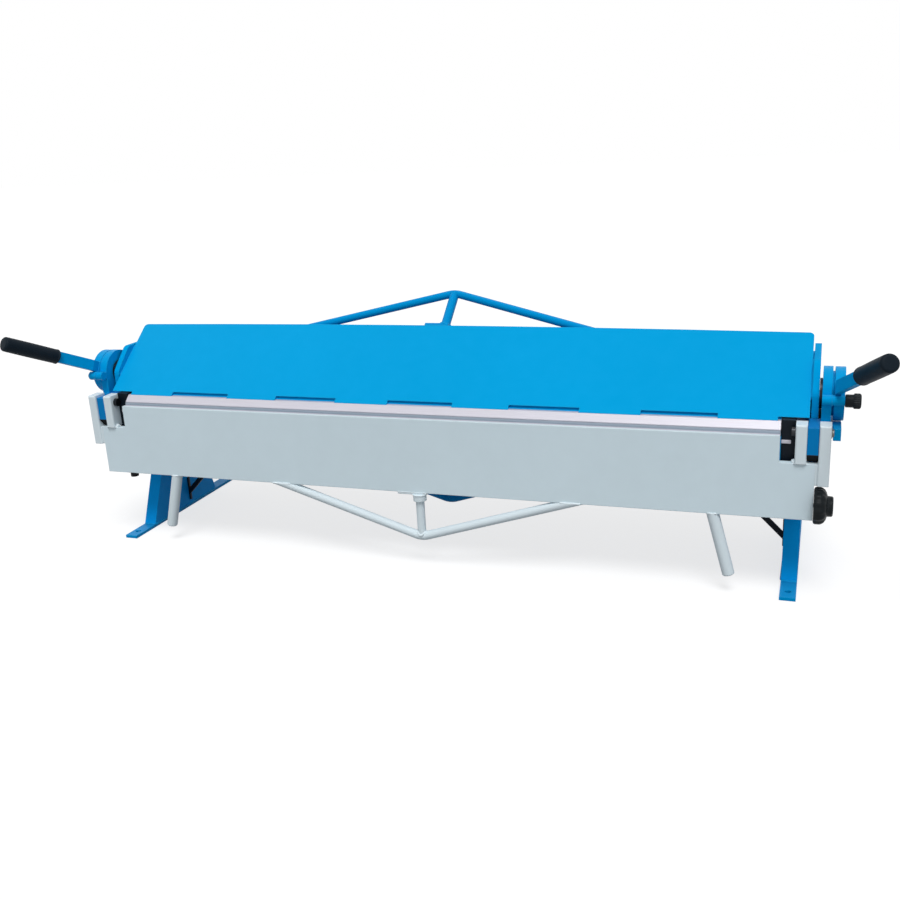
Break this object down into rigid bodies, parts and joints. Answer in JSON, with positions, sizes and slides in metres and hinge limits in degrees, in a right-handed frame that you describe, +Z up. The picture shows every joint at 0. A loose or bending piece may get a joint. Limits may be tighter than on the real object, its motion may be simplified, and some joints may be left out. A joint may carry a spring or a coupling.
{
  "type": "sheet metal folder",
  "caption": "Bench-mounted sheet metal folder with a swinging apron, a truss-braced clamping beam and cam levers at both ends, on two plate legs.",
  "frame": {"origin": "floor level, midway between the four bolt holes of the feet", "axes": "+X along the bend line to the operator's right, +Y to the rear, +Z up"},
  "size_m": [1.591, 0.5336, 0.4821],
  "materials": {
    "blue_paint": "gloss enamel",
    "deep_blue_paint": "gloss enamel",
    "light_grey_paint": "satin enamel",
    "apron_grey_paint": "satin enamel",
    "black_paint": "satin enamel",
    "ground_steel": "ground",
    "dark_steel": "blackened",
    "black_plastic": "fine moulded texture",
    "bumper_rubber": "matt"
  },
  "bodies": {
    "root": {"bed_beam": "deep_blue_paint", "bed_blade": "ground_steel", "bed_blade_screws": "dark_steel", "bed_plate": "deep_blue_paint", "bed_truss_post": "deep_blue_paint", "frame_bolts": "dark_steel", "left_bed_truss": "deep_blue_paint", "left_brace": "black_paint", "left_end_block": "black_paint", "left_end_bracket": "deep_blue_paint", "left_foot": "deep_blue_paint", "left_hinge_block": "deep_blue_paint", "left_leg": "deep_blue_paint", "left_pivot_bracket": "deep_blue_paint", "left_side_plate": "deep_blue_paint", "lever_stops": "deep_blue_paint", "pivot_pins": "dark_steel", "rear_beam": "deep_blue_paint", "right_bed_truss": "deep_blue_paint", "right_brace": "black_paint", "right_end_block": "black_paint", "right_end_bracket": "deep_blue_paint", "right_foot": "deep_blue_paint", "right_hinge_block": "deep_blue_paint", "right_leg": "deep_blue_paint", "right_pivot_bracket": "deep_blue_paint", "right_side_plate": "deep_blue_paint"},
    "apron": {"apron_blade": "ground_steel", "apron_blade_screws": "dark_steel", "apron_bumper": "bumper_rubber", "apron_plate": "apron_grey_paint", "apron_truss_post": "light_grey_paint", "hinge_pins": "dark_steel", "left_apron_bar": "light_grey_paint", "left_apron_handle": "light_grey_paint", "left_apron_lug": "light_grey_paint", "left_apron_truss": "light_grey_paint", "right_apron_bar": "light_grey_paint", "right_apron_handle": "light_grey_paint", "right_apron_lug": "light_grey_paint", "right_apron_truss": "light_grey_paint"},
    "angle_knob": {"angle_stop_knob": "black_plastic"},
    "clamp": {"clamp_back_plate": "deep_blue_paint", "clamp_blade": "ground_steel", "clamp_blade_screws": "dark_steel", "clamp_front_plate": "blue_paint", "clamp_truss_post": "blue_paint", "left_clamp_end_plate": "blue_paint", "left_clamp_truss": "blue_paint", "right_clamp_end_plate": "blue_paint", "right_clamp_truss": "blue_paint"},
    "left_lever": {"left_eccentric_shaft": "dark_steel", "left_lever_arm": "deep_blue_paint", "left_lever_disc": "deep_blue_paint", "left_lever_grip": "black_plastic"},
    "right_lever": {"right_eccentric_shaft": "dark_steel", "right_lever_arm": "deep_blue_paint", "right_lever_disc": "deep_blue_paint", "right_lever_grip": "black_plastic"},
    "lock_knob": {"stop_knob": "black_plastic"}
  },
  "joints": [
    {"name": "apron_fold", "type": "hinge", "parent": "root", "child": "apron", "pos_m": [0, -0.184, 0.292], "axis": [-1, 0, 0], "range_deg": [0, 135]},
    {"name": "clamp_lift", "type": "hinge", "parent": "root", "child": "clamp", "pos_m": [0, 0.074, 0.3435], "axis": [-1, 0, 0], "range_deg": [0, 5.75]},
    {"name": "left_lever_turn", "type": "hinge", "parent": "root", "child": "left_lever", "pos_m": [-0.722, -0.108, 0.3385], "axis": [-1, 0, 0], "range_deg": [0, 120]},
    {"name": "right_lever_turn", "type": "hinge", "parent": "root", "child": "right_lever", "pos_m": [0.722, -0.108, 0.3385], "axis": [-1, 0, 0], "range_deg": [0, 120]},
    {"name": "angle_knob_turn", "type": "hinge", "parent": "apron", "child": "angle_knob", "pos_m": [0.7, -0.19, 0.17], "axis": [1, 0, 0], "continuous": true},
    {"name": "lock_knob_turn", "type": "hinge", "parent": "root", "child": "lock_knob", "pos_m": [0.74, -0.162, 0.34025], "axis": [1, 0, 0], "continuous": true}
  ],
  "couplings": [
    {"joint": "left_lever_turn", "follows": "clamp_lift", "ratio": 20.86},
    {"joint": "right_lever_turn", "follows": "clamp_lift", "ratio": 20.86}
  ]
}
